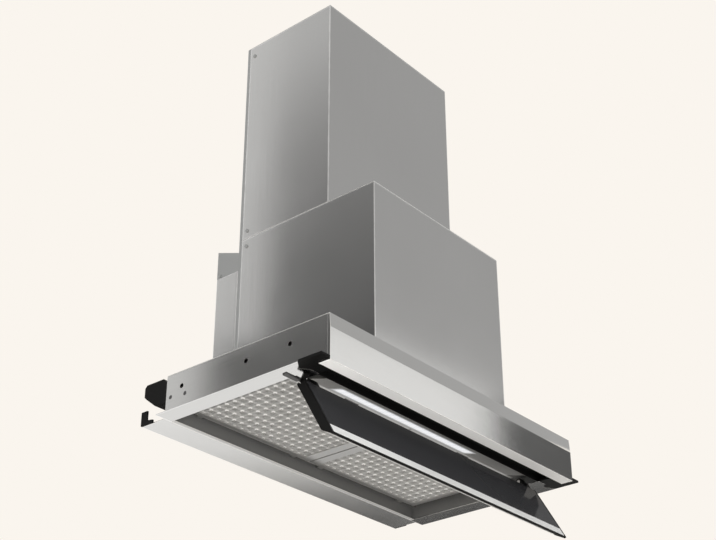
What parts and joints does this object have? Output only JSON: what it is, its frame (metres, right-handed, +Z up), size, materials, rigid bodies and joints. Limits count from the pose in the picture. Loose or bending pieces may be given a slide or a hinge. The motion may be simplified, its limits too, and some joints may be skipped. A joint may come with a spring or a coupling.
{
  "type": "built-in range hood",
  "caption": "Built-in range hood for a wall cabinet: slim steel body with a hinged glass flap, light bar, hinged grease filters, blower and stepped casing.",
  "frame": {"origin": "on the wall plane, on the hood's centre line, level with the faces of the side flanges that seat under the cabinet", "axes": "+X along the fascia to the right seen from the front, +Y into the wall, +Z up along the outlet"},
  "size_m": [0.598, 0.351, 0.8417],
  "materials": {
    "casing_steel": "satin grey sheet with soft reflections",
    "body_steel": "satin sheet",
    "fascia_steel": "fine satin, brushed along its length",
    "zinc_sheet": "matt zinc grey",
    "pan_sheet": "satin light grey",
    "filter_alu": "bright satin",
    "light_alu": "satin anodised",
    "trim_alu": "satin anodised",
    "black_plastic": "fine matt",
    "black_glass": "polished, opaque black behind",
    "diffuser": "opal white",
    "circuit_board": "satin green",
    "bracket_steel": "dark grey, satin",
    "bright_steel": "plain bright steel",
    "motor_paint": "grey hammered",
    "wheel_plastic": "matt dark grey",
    "duct_plastic": "matt light grey",
    "white_plastic": "matt off-white",
    "seal_rubber": "matt"
  },
  "bodies": {
    "hood": {"canopy_top": "body_steel", "side_panel_left": "body_steel", "side_panel_right": "body_steel", "rear_panel": "body_steel", "filter_pan": "pan_sheet", "fascia": "fascia_steel", "front_channel": "black_plastic", "front_cap_left": "black_plastic", "front_cap_right": "black_plastic", "light_bar": "light_alu", "led_board": "circuit_board", "led_diffuser": "diffuser", "hinge_bracket_left": "bracket_steel", "hinge_bracket_right": "bracket_steel", "hinge_pins": "bright_steel", "friction_washers": "seal_rubber", "filter_rod": "bright_steel", "casing_cover": "casing_steel", "casing_top": "casing_steel", "casing_back": "zinc_sheet", "upper_cover": "casing_steel", "upper_back": "zinc_sheet", "upper_top": "zinc_sheet", "rear_box": "body_steel", "wall_bracket": "zinc_sheet", "filler_strip": "fascia_steel", "filler_cap_left": "black_plastic", "filler_cap_right": "black_plastic", "wall_spacer_left": "black_plastic", "wall_spacer_right": "black_plastic", "panel_screws": "bracket_steel", "casing_screws": "bracket_steel", "scroll_band": "zinc_sheet", "scroll_side_left": "zinc_sheet", "scroll_side_right": "zinc_sheet", "motor": "motor_paint", "motor_bracket": "bracket_steel", "inner_duct": "duct_plastic", "outlet_collar": "black_plastic", "damper_pin": "bright_steel", "electronics_box": "white_plastic", "capacitor": "white_plastic", "cable_gland": "black_plastic"},
    "flap": {"flap_glass": "black_glass", "flap_tray": "black_plastic", "flap_back": "trim_alu", "flap_trim": "trim_alu", "flap_end_left": "black_plastic", "flap_end_right": "black_plastic", "key_board": "circuit_board"},
    "filter_left": {"filter_frame_left": "filter_alu", "filter_grid_left": "filter_alu"},
    "filter_right": {"filter_frame_right": "filter_alu", "filter_grid_right": "filter_alu"},
    "latch_left": {"filter_latch_left": "bracket_steel"},
    "latch_right": {"filter_latch_right": "bracket_steel"},
    "blower": {"blower_wheel": "wheel_plastic", "motor_shaft": "bright_steel"},
    "damper_left": {"damper_flap_left": "duct_plastic"},
    "damper_right": {"damper_flap_right": "duct_plastic"}
  },
  "joints": [
    {"name": "flap_hinge", "type": "hinge", "parent": "hood", "child": "flap", "pos_m": [0, -0.274, 0.0045], "axis": [-1, 0, 0], "range_deg": [-120, 0]},
    {"name": "filter_hinge_left", "type": "hinge", "parent": "hood", "child": "filter_left", "pos_m": [0, -0.0555, 0.0209], "axis": [1, 0, 0], "range_deg": [0, 75]},
    {"name": "filter_hinge_right", "type": "hinge", "parent": "hood", "child": "filter_right", "pos_m": [0, -0.0555, 0.0209], "axis": [1, 0, 0], "range_deg": [0, 75]},
    {"name": "latch_slide_left", "type": "slide", "parent": "filter_left", "child": "latch_left", "axis": [0, 1, 0], "range_m": [0, 0.005], "stiffness_N_per_m": 400, "springref_m": -0.005},
    {"name": "latch_slide_right", "type": "slide", "parent": "filter_right", "child": "latch_right", "axis": [0, 1, 0], "range_m": [0, 0.005], "stiffness_N_per_m": 400, "springref_m": -0.005},
    {"name": "blower_spin", "type": "hinge", "parent": "hood", "child": "blower", "pos_m": [0, -0.195, 0.185], "axis": [1, 0, 0], "continuous": true},
    {"name": "damper_hinge_left", "type": "hinge", "parent": "hood", "child": "damper_left", "pos_m": [0, -0.128, 0.7275], "axis": [0, 1, 0], "range_deg": [0, 80]},
    {"name": "damper_hinge_right", "type": "hinge", "parent": "hood", "child": "damper_right", "pos_m": [0, -0.128, 0.7275], "axis": [0, -1, 0], "range_deg": [0, 80]}
  ]
}
